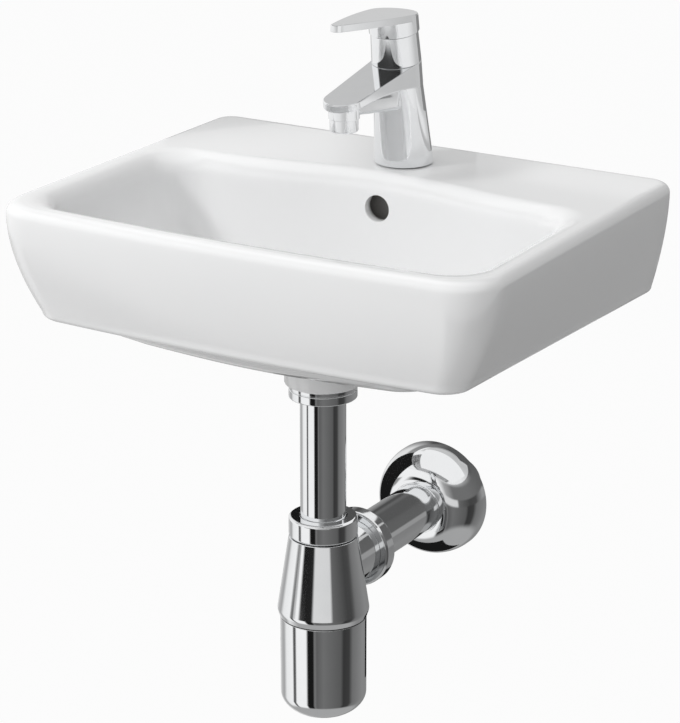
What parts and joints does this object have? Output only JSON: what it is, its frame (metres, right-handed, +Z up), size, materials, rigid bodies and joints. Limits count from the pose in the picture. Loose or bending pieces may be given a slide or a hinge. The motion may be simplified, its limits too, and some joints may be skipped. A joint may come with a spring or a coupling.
{
  "type": "washbasin",
  "caption": "Wall-hung rectangular washbasin with an overflow, a single-lever mixer tap, a push-down waste and a chromed bottle trap to the wall.",
  "frame": {"origin": "on the wall plane, midway between the two wall-fixing holes", "axes": "+Y into the wall, +Z up, +X along the wall"},
  "size_m": [0.458, 0.403, 0.6044],
  "materials": {
    "glazed": "white glaze",
    "chrome": "bright chrome",
    "rubber": "matt",
    "brass": "machined",
    "steel": "brushed",
    "plastic": "moulded",
    "disc": "lapped"
  },
  "bodies": {
    "basin": {"basin": "glazed", "tap_body": "chrome", "aerator_housing": "chrome", "cartridge_sleeve": "chrome", "waste_body": "chrome", "waste_nut": "chrome", "inlet_tube": "chrome", "trap_nut": "chrome", "trap_body": "chrome", "outlet_nut": "chrome", "outlet_tube": "chrome", "tap_base_seal": "rubber", "tap_gasket": "rubber", "aerator_seal": "rubber", "cartridge_seals": "rubber", "waste_top_seal": "rubber", "waste_bottom_seal": "rubber", "tube_seal": "rubber", "trap_seal": "rubber", "outlet_seal": "rubber", "tap_stud": "brass", "tap_nut": "brass", "cartridge_nut": "brass", "tap_clamp": "steel", "plug_spring": "steel", "aerator_insert": "plastic", "cartridge_housing": "plastic", "plug_guide": "plastic", "disc_fixed": "disc"},
    "carrier": {"cartridge_carrier": "plastic", "cartridge_pin": "steel"},
    "lever": {"lever_stem": "steel", "lever_handle": "chrome", "lever_screw": "steel", "lever_plug": "chrome"},
    "disc": {"disc_moving": "disc"},
    "plug": {"plug_cap": "chrome", "plug_seal": "rubber", "plug_stem": "steel"},
    "cup": {"trap_cup": "chrome", "cup_seal": "rubber"},
    "flange": {"wall_flange": "chrome"}
  },
  "joints": [
    {"name": "lever_swivel", "type": "hinge", "parent": "basin", "child": "carrier", "pos_m": [0, -0.064, 0.065], "axis": [0, -0.153, 0.9882], "range_deg": [-45, 45]},
    {"name": "lever_lift", "type": "hinge", "parent": "carrier", "child": "lever", "pos_m": [0, -0.08037, 0.17074], "axis": [-1, 0, 0], "range_deg": [0, 20]},
    {"name": "disc_slide", "type": "slide", "parent": "carrier", "child": "disc", "axis": [0, -0.9882, -0.153], "range_m": [0, 0.00738]},
    {"name": "plug_press", "type": "slide", "parent": "basin", "child": "plug", "axis": [0, 0, -1], "range_m": [0, 0.008], "stiffness_N_per_m": 300, "springref_m": -0.01, "deforming": ["plug_spring"]},
    {"name": "cup_release", "type": "slide", "parent": "basin", "child": "cup", "axis": [0, 0, -1], "range_m": [0, 0.03]},
    {"name": "flange_slide", "type": "slide", "parent": "basin", "child": "flange", "axis": [0, -1, 0], "range_m": [0, 0.06]}
  ],
  "couplings": [
    {"joint": "disc_slide", "follows": "lever_lift", "m_per_rad": 0.020576}
  ]
}
